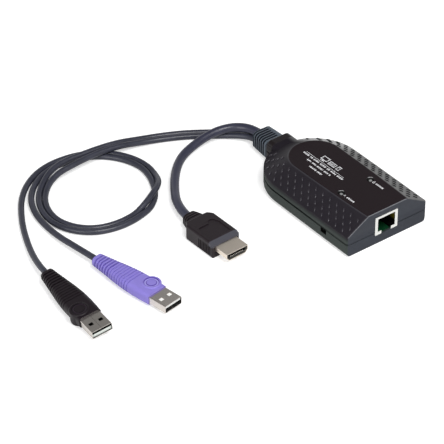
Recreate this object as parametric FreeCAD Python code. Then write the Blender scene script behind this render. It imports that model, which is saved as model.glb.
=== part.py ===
import FreeCAD, Part
import math
import os

# Adapter that joins a computer's video and data sockets to a network cable.
# A flat two-part housing has a network jack in its front face (+X). Three
# cords leave its tail (-X): one thick video cord and two thin data cords.
# Origin: middle of the housing, on the table. X along the housing, +Z up.

V = FreeCAD.Vector
FIT = 0.05              # clearance between pieces that seat in each other

# ---- housing ----
FRONT_X = 47.0          # front face
TAIL_X = -14.2          # centre of the round rear end
MID_HALF = 27.6         # half width at the round rear end, and its radius
FRONT_HALF = 27.3       # half width at the front face
SPLIT_Z = 8.0           # joint between the two covers
RIM_Z = 12.9            # top of the upright wall, at the front
RIM_FALL = 0.009        # fall of that edge towards the rear, per mm
DECK_Z = 21.1           # flat deck on top, at the front
DECK_FALL = 0.012       # fall of the deck towards the rear, per mm
DECK_HALF = 14.6        # half width of the deck at its round rear end
DECK_FRONT_HALF = 13.2  # half width of the deck at the front face
DECK_TAIL_X = -13.1     # centre of the deck's round rear end
WALL = 1.8              # wall of both covers
FRONT_CORNER = 1.2      # upright corners beside the front face
BASE_ROUND = 3.2        # rounding of the bottom edge along the sides and tail
FRONT_BASE_ROUND = 0.6  # rounding of the bottom edge of the front face
SEAM = 0.4              # height and depth of the groove where the covers meet
LIP = 0.8               # thickness of the locating lip
LIP_H = 1.0             # height of the locating lip

# ---- neck that holds the cords' boot ----
NECK_X = -46.4          # rear face of the neck
NECK_HALF = 8.0
NECK_BASE = 0.3
NECK_TOP = 14.9
NECK_ROUND = 3.0        # long upper edges of the neck
NECK_ROOF = 2.0         # wall above the neck's room
NECK_WALL = 1.5
PORT_HALF = 5.3         # opening in the neck's rear wall
PORT_LOW = 1.7
PORT_HIGH = 11.2
BOOT_END_X = -61.5

# ---- board and what stands on it ----
BOARD_T = 1.2
BOARD_TOP = 5.9
BOARD_GAP = 0.6         # board edge to the inside of the wall
BOARD_REAR_X = -33.0
SCREWS = [(35.0, 19.5), (35.0, -19.5), (-17.0, 19.0), (-17.0, -19.0)]
SCREW_D = 2.2
SCREW_HEAD_D = 4.4
SCREW_HEAD_H = 1.4
SCREW_SINK = 0.6        # head below the bottom face
SCREW_LEN = 10.5
BOSS_D = 6.4

# ---- network jack ----
JACK_W = 15.4
JACK_H = 11.5
JACK_LEN = 17.8
JACK_Y = -0.7           # middle of the jack
JACK_Z = BOARD_TOP + 0.1    # underside, on the board
JACK_PROUD = 0.2        # ahead of the front face
JACK_SKIN = 0.35        # sheet of its metal cover
PORT_W = 11.7           # network plug opening
PORT_H = 8.2
PORT_Z = JACK_Z + 1.9   # lower edge of the opening
PORT_DEEP = 13.0
LATCH_W = 6.5
CONTACT_PITCH = 1.02

# ---- lights ----
LIGHTS = [(21.8, 9.1), (21.7, -10.9)]   # power, link
LIGHT_D = 2.6
LIGHT_WELL_D = 4.0      # shallow well round each light pipe
LAMP = 1.6

# ---- slide switch ----
SLOT_X0 = 25.1          # slot in the -Y wall
SLOT_X1 = 29.7
SLOT_LOW = BOARD_TOP - 1.1
SLOT_HIGH = BOARD_TOP + 2.2
KNOB_W = 1.6
KNOB_H = 1.5
KNOB_TRAVEL = 2.0
KNOB_INSET = 0.55       # knob tip behind the wall's outside

# ---- cords ----
VIDEO_D = 5.0
DATA_D = 3.4
VIDEO_Z = 8.0           # heights where the cords leave the boot
DATA_Z = 4.0
SPREAD = 1.8            # half the spacing of the two data cords
CORD_START = -56.4      # where the jackets end inside the boot
LAST_BEND = 3.9         # a cord's last bend, behind its plug
LAST_RUN = 8.4          # from there to the cord's end inside the plug

# Middle of the thick cord: x, y, z.
VIDEO_ROUTE = [
    (-56.4, 0.0, 8.0), (-66.0, 0.0, 8.0), (-74.7, -4.3, 7.4), (-79.7, -12.4, 6.5),
    (-81.0, -22.0, 5.4), (-80.2, -32.0, 3.7), (-77.3, -42.0, 2.7), (-71.0, -51.0, 2.55),
    (-62.5, -59.2, 2.55), (-53.0, -66.2, 2.8), (-43.8, -71.9, 3.9)]

# The two data cords run as a pair: middle x, y, lift of cord a, lift of
# cord b, and how far cord a stands to the left of the middle.
PAIR_ROUTE = [
    (-56.4, 0.0, 2.3, 2.3, 1.8), (-66.0, 0.0, 2.3, 2.3, 1.8), (-74.5, -4.8, 1.1, 1.1, 1.8),
    (-81.8, -12.0, 0.05, 0.05, 1.8),
    (-88.0, -20.5, 0.05, 0.05, 1.8), (-94.5, -30.0, 0.05, 0.05, 1.8),
    (-100.0, -41.0, 0.05, 0.05, 1.8), (-104.0, -52.5, 0.9, 0.9, 1.8),
    (-106.5, -64.0, 3.3, 3.3, 1.8), (-108.4, -76.0, 3.8, 3.8, 1.8),
    (-109.4, -87.0, 3.8, 3.8, 1.8), (-108.4, -97.5, 3.8, 3.8, 1.9),
    (-105.2, -107.0, 3.2, 3.2, 2.1), (-100.0, -115.5, 1.4, 1.4, 2.1),
    (-93.3, -122.8, 0.1, 0.1, 1.9), (-84.8, -128.0, 0.05, 0.05, 1.8),
    (-75.3, -130.5, 0.05, 0.05, 1.8), (-66.0, -129.7, 0.05, 0.05, 1.8),
    (-57.7, -125.7, 0.05, 0.05, 1.8), (-51.9, -118.8, 0.05, 0.05, 1.8),
    (-49.0, -110.0, 0.05, 0.05, 1.8), (-48.9, -101.0, 0.05, 0.05, 1.8),
    (-50.6, -93.0, 0.05, 0.05, 1.8), (-53.2, -86.4, 2.3, 0.05, 1.5),
    (-56.6, -80.4, 3.7, 0.05, 0.6), (-61.2, -75.2, 3.7, 0.05, -0.6),
    (-66.7, -70.8, 2.3, 0.05, -1.5), (-73.2, -67.6, 0.05, 0.05, -1.8),
    (-82.0, -65.6, 0.05, 0.05, -1.8), (-91.5, -66.2, 0.05, 0.05, -1.8),
    (-100.5, -70.0, 0.05, 0.05, -1.8), (-107.8, -76.2, 0.05, 0.05, -1.8)]

# Each data cord's own way from there to its plug: x, y, z.
TAIL_A = [
    (-114.6, -83.6, 1.75), (-117.4, -94.3, 1.75), (-117.3, -106.0, 1.75),
    (-113.6, -117.5, 1.75), (-106.8, -128.0, 1.75), (-98.0, -136.5, 1.75),
    (-87.5, -143.5, 1.75), (-76.8, -149.5, 1.75), (-66.5, -154.3, 1.9),
    (-56.8, -158.2, 2.6), (-47.0, -161.2, 3.7)]
TAIL_B = [
    (-111.0, -86.4, 1.75), (-112.8, -96.2, 1.75), (-112.0, -106.5, 1.75),
    (-108.0, -116.5, 1.75), (-101.2, -125.5, 1.75), (-92.5, -132.3, 1.75),
    (-82.0, -136.1, 1.75), (-70.5, -137.7, 1.9), (-57.5, -138.2, 2.7), (-44.5, -137.2, 3.8)]

# ---- data plugs: middle of the grip's front, heading about Z, roll ----
BLACK_PLUG = ((11.7, -167.15, 4.95), -4.5, 8.0)
PURPLE_PLUG = ((15.8, -128.1, 3.95), 9.3, 0.0)
GRIP_LEN = 44.4
GRIP_STATIONS = [       # x, half width, half height, corner
    (0.0, 6.6, 3.2, 1.8), (-4.0, 6.9, 3.45, 2.3), (-12.0, 7.2, 3.6, 2.9),
    (-20.0, 6.9, 3.6, 3.1), (-28.0, 6.0, 3.45, 3.1), (-36.0, 4.9, 3.2, 2.9),
    (-GRIP_LEN, 3.8, 2.9, 2.5)]
EAR_D = 10.6            # round ear on one side of the grip
EAR_X = -6.4
EAR_Y = 2.5
EAR_HALF_H = 3.85
EAR_DISH = 0.45         # depth of the dish in both faces of the ear
PLUG_OUT = 11.8         # metal sleeve ahead of the grip
PLUG_IN = 6.0           # metal sleeve inside the grip
PLUG_W = 12.0
PLUG_H = 4.5
PLUG_SKIN = 0.3
TONGUE_T = 1.84

# ---- video plug ----
VIDEO_PLUG = ((4.2, -74.55, 4.8), 2.0, 0.0)
VGRIP_LEN = 24.7
VGRIP_HALF = 9.4
VGRIP_HALF_H = 4.7
VNECK_LEN = 6.2
VSLEEVE_OUT = 9.4
VSLEEVE_IN = 6.0
VSLEEVE_W = 14.3
VSLEEVE_H = 4.45
VSLEEVE_SKIN = 0.3
VSLEEVE_CUT = 1.5       # slanted lower corners
VSLOT_W = 11.6


# ================= helpers =================
def box(x0, x1, y0, y1, z0, z1):
    return Part.makeBox(x1 - x0, y1 - y0, z1 - z0, V(x0, y0, z0))


def rod(x, y, z0, z1, dia):
    return Part.makeCylinder(dia / 2, z1 - z0, V(x, y, z0))


def prism(points, along):
    """Solid from a closed outline pushed along a vector."""
    pts = [V(*p) for p in points]
    return Part.Face(Part.makePolygon(pts + pts[:1])).extrude(V(*along))


def section(x, half_w, half_h, r, y=0.0, z=0.0):
    """Rounded rectangle in the plane across X, as a closed wire."""
    k = r * (1 - math.sqrt(0.5))
    corners = [(1, 1), (-1, 1), (-1, -1), (1, -1)]
    edges = []
    for i, (sy, sz) in enumerate(corners):
        cy, cz = y + sy * half_w, z + sz * half_h
        side = V(x, cy, cz - sz * r)
        flat = V(x, cy - sy * r, cz)
        mid = V(x, cy - sy * k, cz - sz * k)
        a, b = (side, flat) if i % 2 == 0 else (flat, side)
        edges.append(Part.Arc(a, mid, b).toShape())
        ny, nz = corners[(i + 1) % 4]
        ncy, ncz = y + ny * half_w, z + nz * half_h
        nxt = V(x, ncy - ny * r, ncz) if i % 2 == 0 else V(x, ncy, ncz - nz * r)
        edges.append(Part.LineSegment(b, nxt).toShape())
    return Part.Wire(edges)


def bar(x0, x1, half_w, half_h, r, y=0.0, z=0.0):
    """Rounded rectangular bar along X."""
    return Part.Face(section(x0, half_w, half_h, r, y, z)).extrude(V(x1 - x0, 0, 0))


def collar(x0, x1, outer, half_w, half_h, r, z=0.0):
    """Ring that cuts a groove down to the given section."""
    return box(x0, x1, -outer, outer, z - outer, z + outer).cut(
        bar(x0 - 1, x1 + 1, half_w, half_h, r, 0, z))


def rounded(shape, radius, pick):
    """Round the edges whose middle point satisfies pick."""
    chosen = [e for e in shape.Edges if pick(e.valueAt(
        (e.FirstParameter + e.LastParameter) / 2), e)]
    return shape.makeFillet(radius, chosen)


def bend_radius(before, after):
    turn = before.getAngle(after)
    return 0.45 * min(before.Length, after.Length) / math.tan(turn / 2) if turn > 1e-4 else 1e9


def tube(route, dia, name):
    """Round cord: straight runs joined by tangent arcs."""
    pts = [V(*p) for p in route]
    edges, start, radii = [], pts[0], []
    for i in range(1, len(pts) - 1):
        before, after = pts[i] - pts[i - 1], pts[i + 1] - pts[i]
        r = bend_radius(before, after)
        if r > 5000:
            continue
        radii.append(r)
        t = 0.45 * min(before.Length, after.Length)
        u1, u2 = before.normalize(), after.normalize()
        a, b = pts[i] - u1 * t, pts[i] + u2 * t
        inward = (u2 - u1).normalize()
        half = u1.getAngle(u2) / 2
        mid = pts[i] + inward * (r / math.cos(half) - r)
        edges.append(Part.LineSegment(start, a).toShape())
        edges.append(Part.Arc(a, mid, b).toShape())
        start = b
    edges.append(Part.LineSegment(start, pts[-1]).toShape())
    path = Part.Wire(edges)
    ring = Part.Wire(Part.makeCircle(dia / 2, pts[0], pts[1] - pts[0]))
    solid = path.makePipeShell([ring], True, False)
    print(name, "length %.0f" % path.Length, "tightest bend %.1f" % min(radii),
          "volume ratio %.3f" % (solid.Volume / (path.Length * math.pi * dia ** 2 / 4)))
    return solid


def beside(rows, sign):
    """One cord of the pair: the middle line stepped sideways and lifted."""
    out = []
    for i, (x, y, lift_a, lift_b, side) in enumerate(rows):
        x0, y0 = rows[max(i - 1, 0)][:2]
        x1, y1 = rows[min(i + 1, len(rows) - 1)][:2]
        n = math.hypot(x1 - x0, y1 - y0)
        left = (-(y1 - y0) / n, (x1 - x0) / n)
        lift = lift_a if sign > 0 else lift_b
        out.append((x + sign * side * left[0], y + sign * side * left[1], DATA_D / 2 + lift))
    return out


def placed(shape, where, flip=False):
    """Put a plug's piece on its place; flip turns it over lengthways."""
    (x, y, z), heading, roll = where
    out = shape.copy()
    out.rotate(V(0, 0, 0), V(1, 0, 0), roll + 180 * flip)
    out.rotate(V(0, 0, 0), V(0, 0, 1), heading)
    out.translate(V(x, y, z))
    return out


# ================= housing =================
def bow(a, mid, b):
    """Arc through three points, or a straight run where they line up."""
    if mid.distanceToLine(a, b - a) < 1e-6:
        return Part.LineSegment(a, b)
    return Part.Arc(a, mid, b)


def outline(inset, z, fall, half_front, half_mid, tail_x, corner, front_inset=None):
    """Closed plan outline: flat front, bowed sides, round tail."""
    front = FRONT_X - (inset if front_inset is None else front_inset)
    hf, hm = half_front - inset, half_mid - inset
    r = max(corner - inset, 0.3)

    def at(x, y):
        return V(x, y, z - fall * (FRONT_X - x))

    k = r * (1 - math.sqrt(0.5))
    xm = (front - r + tail_x) / 2
    ym = hm - (hm - hf) * ((xm - tail_x) / (front - r - tail_x)) ** 2
    q = hm * math.sqrt(0.5)
    pts = [(front, -(hf - r)), (front, hf - r), (front - k, hf - k), (front - r, hf),
           (xm, ym), (tail_x, hm), (tail_x - q, q), (tail_x - hm, 0)]
    arc = [at(*p) for p in pts]
    mirror = [at(p[0], -p[1]) for p in pts]
    edges = [Part.LineSegment(arc[0], arc[1]), Part.Arc(arc[1], arc[2], arc[3]),
             bow(arc[3], arc[4], arc[5]), Part.Arc(arc[5], arc[6], arc[7]),
             Part.Arc(arc[7], mirror[6], mirror[5]), bow(mirror[5], mirror[4], mirror[3]),
             Part.Arc(mirror[3], mirror[2], arc[0])]
    return Part.Wire([e.toShape() for e in edges])


def wall_line(inset, z, fall=0.0, front_inset=None):
    return outline(inset, z, fall, FRONT_HALF, MID_HALF, TAIL_X, FRONT_CORNER, front_inset)


def deck_line(inset, drop):
    return outline(inset, DECK_Z - drop, DECK_FALL, DECK_FRONT_HALF, DECK_HALF, DECK_TAIL_X, 1.2)


def base_steps():
    """Outlines that climb the rounded bottom edge, from the table up."""
    out = []
    for i in range(7):
        turn = math.radians(90 * i / 6)
        z = BASE_ROUND * (1 - math.cos(turn))
        low = max(0.0, FRONT_BASE_ROUND - z)
        front = FRONT_BASE_ROUND - math.sqrt(FRONT_BASE_ROUND ** 2 - low ** 2)
        out.append(wall_line(BASE_ROUND * (1 - math.sin(turn)), z, 0.0, front))
    return out


def wall_band(inset_out, inset_in, z0, z1):
    """Upright ring that follows the wall."""
    outer = Part.Face(wall_line(inset_out, z0)).extrude(V(0, 0, z1 - z0))
    inner = Part.Face(wall_line(inset_in, z0 - 1)).extrude(V(0, 0, z1 - z0 + 2))
    return outer.cut(inner)


def half_width(x):
    """Half width of the housing at x, ahead of the round tail."""
    return MID_HALF - (MID_HALF - FRONT_HALF) * ((x - TAIL_X) / (FRONT_X - FRONT_CORNER - TAIL_X)) ** 2


def deck_height(x):
    return DECK_Z - DECK_FALL * (FRONT_X - x)


def neck_block(radius, z0, z1):
    """Neck with long edges of the given radius, kept between two heights."""
    mid, half = (NECK_BASE + NECK_TOP) / 2, (NECK_TOP - NECK_BASE) / 2
    body = bar(NECK_X, -27.0, NECK_HALF, half, radius, 0, mid)
    body = rounded(body, 0.9, lambda m, e: abs(m.x - NECK_X) < 0.01)
    return body.common(box(-60, 0, -20, 20, z0, z1))


def neck_upper():
    return neck_block(NECK_ROUND, SPLIT_Z, 40)


def neck_lower():
    return neck_block(1.4, 0, SPLIT_Z)


def neck_hollow():
    room = box(NECK_X + NECK_WALL, -25.0, -NECK_HALF + NECK_WALL, NECK_HALF - NECK_WALL,
               NECK_BASE + 0.95, NECK_TOP - NECK_ROOF)
    mid = (PORT_LOW + PORT_HIGH) / 2
    port = bar(NECK_X - 1, NECK_X + NECK_WALL + 1, PORT_HALF, (PORT_HIGH - PORT_LOW) / 2, 2.0, 0, mid)
    return room.fuse(port)


def jack_opening():
    w = JACK_W / 2 + 0.15
    return box(FRONT_X - 8, FRONT_X + 2, JACK_Y - w, JACK_Y + w, JACK_Z - 0.1, JACK_Z + JACK_H + 0.15)


def switch_slot():
    return box(SLOT_X0, SLOT_X1, -MID_HALF - 1, -FRONT_HALF + WALL + 1, SLOT_LOW, SLOT_HIGH)


def upper_cover():
    solid = Part.makeLoft([wall_line(0, SPLIT_Z), wall_line(0, RIM_Z, RIM_FALL), deck_line(0, 0)],
                          True, True)
    room = Part.makeLoft([wall_line(WALL, SPLIT_Z - 0.5), wall_line(WALL, RIM_Z - 1.1, RIM_FALL),
                          deck_line(0.4, WALL)], True, True)
    front_room = box(FRONT_X - WALL, FRONT_X + 5, -60, 60, 0, 40)
    cover = solid.fuse(neck_upper()).cut(room.cut(front_room)).cut(neck_hollow())
    # recess for the lower cover's lip
    cover = cover.cut(wall_band(WALL - LIP - FIT, WALL + 0.4, SPLIT_Z - 0.5, SPLIT_Z + LIP_H + 0.1))
    for x, y in SCREWS:
        boss = rod(x, y, BOARD_TOP + FIT, deck_height(x) - 0.5, BOSS_D - 1.0)
        wall_rib = box(x - 0.6, x + 0.6, min(y, y + math.copysign(6, y)), max(y, y + math.copysign(6, y)),
                       SPLIT_Z + 1.2, DECK_Z)
        cover = cover.fuse(boss.fuse(wall_rib).common(solid_inside()))
    for x, y in SCREWS:
        cover = cover.cut(rod(x, y, BOARD_TOP - 1, SCREW_SINK + SCREW_HEAD_H + SCREW_LEN + 0.6,
                              SCREW_D + 2 * FIT))
    # ribs under the deck, short of the light tubes
    for x in (-22.0, -10.0, 4.0):
        cover = cover.fuse(box(x - 0.5, x + 0.5, -DECK_HALF, DECK_HALF, DECK_Z - 4.4, DECK_Z)
                           .common(solid_inside()))
    for x, y in LIGHTS:
        tube_round = rod(x, y, DECK_Z - 5.0, DECK_Z, LIGHT_WELL_D + 1.0)
        cover = cover.fuse(tube_round.common(solid_inside()))
        cover = cover.cut(rod(x, y, DECK_Z - 6, DECK_Z + 1, LIGHT_D + 2 * FIT))
        cover = cover.cut(rod(x, y, deck_height(x) - 0.5, DECK_Z + 1, LIGHT_WELL_D))
    return cover.cut(jack_opening()).cut(switch_slot()).removeSplitter()


def solid_inside():
    """Room inside the upper cover's outer skin, for bosses and ribs."""
    wires = [wall_line(WALL / 2, BOARD_TOP), wall_line(WALL / 2, RIM_Z - 0.6, RIM_FALL),
             deck_line(0.3, WALL / 2)]
    return Part.makeLoft(wires, True, True)


def lower_cover():
    solid = Part.makeLoft(base_steps(), True, True)
    solid = solid.fuse(Part.Face(wall_line(0, BASE_ROUND)).extrude(V(0, 0, SPLIT_Z - BASE_ROUND)))
    room = Part.Face(wall_line(WALL, WALL)).extrude(V(0, 0, SPLIT_Z))
    cover = solid.fuse(neck_lower()).cut(room)
    lip = wall_band(WALL - LIP, WALL, SPLIT_Z - 0.5, SPLIT_Z + LIP_H)
    lip = lip.cut(box(-60, -30, -NECK_HALF - 1.0, NECK_HALF + 1.0, 0, 30))
    lip = lip.cut(box(SLOT_X0 - 1, SLOT_X1 + 1, -40, 0, 0, 30))
    cover = cover.fuse(lip)
    seam = wall_band(-1.0, SEAM, SPLIT_Z - SEAM, SPLIT_Z + 0.01)
    cover = cover.cut(seam.cut(box(-60, -30, -NECK_HALF, NECK_HALF, 0, 30)))
    for x, y in SCREWS:
        cover = cover.fuse(rod(x, y, 0.5, BOARD_TOP - BOARD_T - FIT, BOSS_D + 0.8))
        cover = cover.cut(rod(x, y, -1, SCREW_SINK + SCREW_HEAD_H, SCREW_HEAD_D + 0.4))
        cover = cover.cut(rod(x, y, 0, BOARD_TOP, SCREW_D + 0.5))
    # low ribs that carry the board, one on each side of the middle
    for y in (-10.0, 10.0):
        cover = cover.fuse(box(-24, 40, y - 0.5, y + 0.5, WALL - 0.1, BOARD_TOP - BOARD_T - FIT))
    return cover.cut(neck_hollow()).cut(jack_opening()).cut(switch_slot()).removeSplitter()


def case_screws():
    out = []
    for x, y in SCREWS:
        z = SCREW_SINK + SCREW_HEAD_H
        head = rod(x, y, SCREW_SINK, z, SCREW_HEAD_D)
        head = rounded(head, 0.4, lambda m, e: m.z < SCREW_SINK + 0.01)
        for a, b in ((1.3, 0.28), (0.28, 1.3)):
            head = head.cut(box(x - a, x + a, y - b, y + b, SCREW_SINK - 0.1, SCREW_SINK + 0.8))
        out.append(head.fuse(rod(x, y, z - 0.1, z + SCREW_LEN, SCREW_D)).removeSplitter())
    return Part.makeCompound(out)


# ================= board and parts on it =================
def circuit_board():
    board = Part.Face(wall_line(WALL + BOARD_GAP, BOARD_TOP - BOARD_T)).extrude(V(0, 0, BOARD_T))
    board = board.cut(box(-60, BOARD_REAR_X, -40, 40, 0, 10))
    for x, y in SCREWS:
        board = board.cut(rod(x, y, 0, 10, SCREW_D + 0.8))
    return board


def chip(x, y, size_x, size_y, height, leads, pitch):
    """Flat package with a row of leads on each long side."""
    low = BOARD_TOP + 0.15
    body = box(x - size_x / 2, x + size_x / 2, y - size_y / 2, y + size_y / 2, low, low + height)
    for i in range(leads):
        lx = x + (i - (leads - 1) / 2) * pitch
        for s in (1, -1):
            y0, y1 = sorted((y + s * (size_y / 2 - 0.2), y + s * (size_y / 2 + 1.0)))
            body = body.fuse(box(lx - 0.2, lx + 0.2, y0, y1, BOARD_TOP, low + 0.25))
    return body


def capacitors():
    out = []
    for x, y in ((4.0, 17.5), (12.0, -17.5)):
        can = rod(x, y, BOARD_TOP + 0.8, BOARD_TOP + 7.0, 6.3)
        can = rounded(can, 0.5, lambda m, e: m.z > BOARD_TOP + 6.9)
        foot = box(x - 3.4, x + 3.4, y - 3.4, y + 3.4, BOARD_TOP, BOARD_TOP + 0.9)
        out.append(can.fuse(foot))
    return Part.makeCompound(out)


def light_pipe(x, y):
    """Clear rod from the lamp on the board to the deck, with a domed end."""
    top = deck_height(x) - 0.15
    stem = rod(x, y, BOARD_TOP + 0.9, top, LIGHT_D)
    stem = rounded(stem, 1.1, lambda m, e: m.z > top - 0.01)
    return stem.fuse(rod(x, y, DECK_Z - 6.4, DECK_Z - 5.1, LIGHT_D + 1.6))


def lamp(x, y):
    return box(x - LAMP / 2, x + LAMP / 2, y - LAMP / 2, y + LAMP / 2, BOARD_TOP, BOARD_TOP + 0.85)


def knob_rest():
    """Left edge of the knob at rest, and the wall's outside there."""
    return SLOT_X0 + 0.5, -half_width((SLOT_X0 + SLOT_X1) / 2)


def switch_body():
    inner = -half_width(SLOT_X1 + 2.0) + WALL + 0.15
    body = box(SLOT_X0 - 2.0, SLOT_X1 + 2.0, inner, inner + 3.6, BOARD_TOP, BOARD_TOP + 3.2)
    return body.cut(box(SLOT_X0 + 0.2, SLOT_X1 - 0.2, inner - 1, inner + 1.6,
                        BOARD_TOP + 0.1, BOARD_TOP + 2.3))


def switch_knob():
    x0, wall = knob_rest()
    z = BOARD_TOP + 0.3
    knob = box(x0, x0 + KNOB_W, wall + KNOB_INSET, wall + WALL + 1.5, z, z + KNOB_H)
    grip = box(x0 + 0.5, x0 + KNOB_W - 0.5, wall, wall + KNOB_INSET + 0.3, z, z + KNOB_H)
    return knob.cut(grip)


# ================= network jack =================
def jack_block(inset, front_inset, rear_inset):
    return box(FRONT_X + JACK_PROUD - JACK_LEN + rear_inset, FRONT_X + JACK_PROUD - front_inset,
               -JACK_W / 2 + inset, JACK_W / 2 - inset, JACK_Z + inset, JACK_Z + JACK_H - inset)


def jack_shield():
    cover = rounded(jack_block(0, 0, 0), 0.5, lambda m, e: abs(m.y) > JACK_W / 2 - 0.01
                    and (m.z < JACK_Z + 0.01 or m.z > JACK_Z + JACK_H - 0.01))
    cover = cover.cut(jack_block(JACK_SKIN, JACK_SKIN, JACK_SKIN))
    face = FRONT_X + JACK_PROUD
    cover = cover.cut(box(face - 2, face + 1, -PORT_W / 2, PORT_W / 2, PORT_Z, PORT_Z + PORT_H))
    cover = cover.cut(box(face - 1.2, face + 1, -LATCH_W / 2, LATCH_W / 2, JACK_Z - 1, PORT_Z + 1))
    # sprung tongues stamped in both sides
    for s in (1, -1):
        for z in (JACK_Z + 3.0, JACK_Z + 7.0):
            slot = box(face - 12, face - 5, -JACK_W, JACK_W, z, z + 1.8).cut(
                box(face - 12.5, face - 5.5, -JACK_W, JACK_W, z + 0.3, z + 1.5))
            keep = box(face - 20, face, 0, 20, 0, 30) if s > 0 else box(face - 20, face, -20, 0, 0, 30)
            cover = cover.cut(slot.common(keep))
    return cover


def jack_body():
    skin = JACK_SKIN + FIT
    body = jack_block(skin, skin, skin)
    face = FRONT_X + JACK_PROUD
    body = body.cut(box(face - PORT_DEEP, face + 1, -PORT_W / 2, PORT_W / 2, PORT_Z, PORT_Z + PORT_H))
    body = body.cut(box(face - PORT_DEEP + 3, face + 1, -LATCH_W / 2, LATCH_W / 2,
                        PORT_Z - 1.5, PORT_Z + 1))
    # comb at the back that keeps the contacts apart
    comb = prism([(face - PORT_DEEP, -5.2, PORT_Z + PORT_H), (face - PORT_DEEP, -5.2, PORT_Z + 3.4),
                  (face - PORT_DEEP + 2.6, -5.2, PORT_Z + 3.4), (face - PORT_DEEP + 2.6, -5.2, PORT_Z + PORT_H)],
                 (0, 10.4, 0))
    for i in range(8):
        y = (i - 3.5) * CONTACT_PITCH
        comb = comb.cut(box(face - PORT_DEEP - 1, face, y - 0.3, y + 0.3, PORT_Z + 3.8, PORT_Z + PORT_H))
    return body.fuse(comb)


def jack_contacts():
    """Eight bent spring wires that hang from the roof of the opening."""
    face = FRONT_X + JACK_PROUD
    roof = PORT_Z + PORT_H - FIT
    out = []
    for i in range(8):
        y = (i - 3.5) * CONTACT_PITCH
        shape = [(face - 12.6, roof), (face - 2.6, roof), (face - 2.2, roof - 0.35),
                 (face - 2.6, roof - 0.75), (face - 10.6, roof - 4.0), (face - 10.75, roof - 3.65),
                 (face - 3.0, roof - 0.45), (face - 3.1, roof - 0.3), (face - 12.6, roof - 0.3)]
        out.append(prism([(x, y - 0.22, z) for x, z in shape], (0, 0.44, 0)))
    return Part.makeCompound(out)


# ================= cord boot and leads =================
def cord_holes(x0, x1):
    holes = [(0.0, VIDEO_Z, VIDEO_D), (SPREAD, DATA_Z, DATA_D), (-SPREAD, DATA_Z, DATA_D)]
    out = [Part.makeCylinder(d / 2 + FIT, x1 - x0, V(x0, y, z), V(1, 0, 0)) for y, z, d in holes]
    return out[0].multiFuse(out[1:])


def cord_boot():
    """Soft sleeve: ribbed tail outside, waist in the neck's wall, flange inside."""
    mid = (PORT_LOW + PORT_HIGH) / 2
    half = (PORT_HIGH - PORT_LOW) / 2
    start = NECK_X - FIT
    tail = Part.makeLoft([section(start, 6.9, 5.7, 2.4, 0, 6.4), section(start - 7, 6.7, 5.5, 2.5, 0.1, 6.4),
                          section(BOOT_END_X, 6.2, 5.3, 2.6, 0.3, 6.4)], True, False)
    tail = rounded(tail, 0.9, lambda m, e: m.x < BOOT_END_X + 0.01)
    for i in range(6):
        x = start - 3.6 - 1.95 * i
        ring = collar(x - 0.95, x, 12, 5.7 - 0.08 * i, 4.7, 2.0, 6.3)
        spine = box(x - 2, x + 1, 3.2, 12, -20, 20)
        tail = tail.cut(ring.cut(spine))
    waist = bar(start - 0.2, NECK_X + NECK_WALL + 0.3, PORT_HALF - FIT, half - FIT, 1.95, 0, mid)
    low, high = NECK_BASE + 0.95 + FIT, NECK_TOP - NECK_ROOF - FIT
    flange = bar(NECK_X + NECK_WALL + FIT, NECK_X + NECK_WALL + 2.0, NECK_HALF - NECK_WALL - FIT,
                 (high - low) / 2, 1.0, 0, (high + low) / 2)
    return tail.fuse(waist).fuse(flange).cut(cord_holes(-70, -38)).removeSplitter()


def header(x, y, ways, pitch, z_top):
    """White lead socket with a row of pin holes, open to the rear."""
    half = ways * pitch / 2 + 0.8
    body = box(x, x + 5.0, y - half, y + half, BOARD_TOP, z_top)
    return body.cut(box(x - 1, x + 3.4, y - half + 0.7, y + half - 0.7, BOARD_TOP + 1.2, z_top - 0.8))


def lead(points, dia):
    pts = [V(*p) for p in points]
    path = Part.Wire([Part.LineSegment(a, b).toShape() for a, b in zip(pts, pts[1:])])
    ring = Part.Wire(Part.makeCircle(dia / 2, pts[0], pts[1] - pts[0]))
    return path.makePipeShell([ring], True, False, 1)


def video_leads():
    """Five cores fan out from the thick cord to its socket."""
    out = []
    for i in range(5):
        a = (i - 2) * 0.95
        z = BOARD_TOP + 3.2
        out.append(lead([(CORD_START, a, VIDEO_Z), (-41.0, a, VIDEO_Z), (-36.0, 2.2 * a, z),
                         (-28.7, 2.2 * a, z)], 0.8))
    return Part.makeCompound(out)


def data_leads():
    """Two cores from each thin cord to the socket beside it."""
    out = []
    for s in (1, -1):
        for j in (0, 1):
            y = s * (SPREAD - 0.55 + 1.1 * j)
            far = s * (10.2 + 1.6 * j)
            turn = -39.9 - 1.2 * j
            out.append(lead([(CORD_START, y, DATA_Z), (turn, y, DATA_Z), (-33.6, far, BOARD_TOP + 2.2),
                             (-28.7, far, BOARD_TOP + 2.2)], 0.8))
    return Part.makeCompound(out)


# ================= data plugs =================
def station(x):
    """Half width, half height and corner of the grip at x."""
    for a, b in zip(GRIP_STATIONS, GRIP_STATIONS[1:]):
        if b[0] <= x <= a[0]:
            f = (x - a[0]) / (b[0] - a[0])
            return [a[k] + f * (b[k] - a[k]) for k in (1, 2, 3)]
    return list(GRIP_STATIONS[-1][1:])


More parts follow.
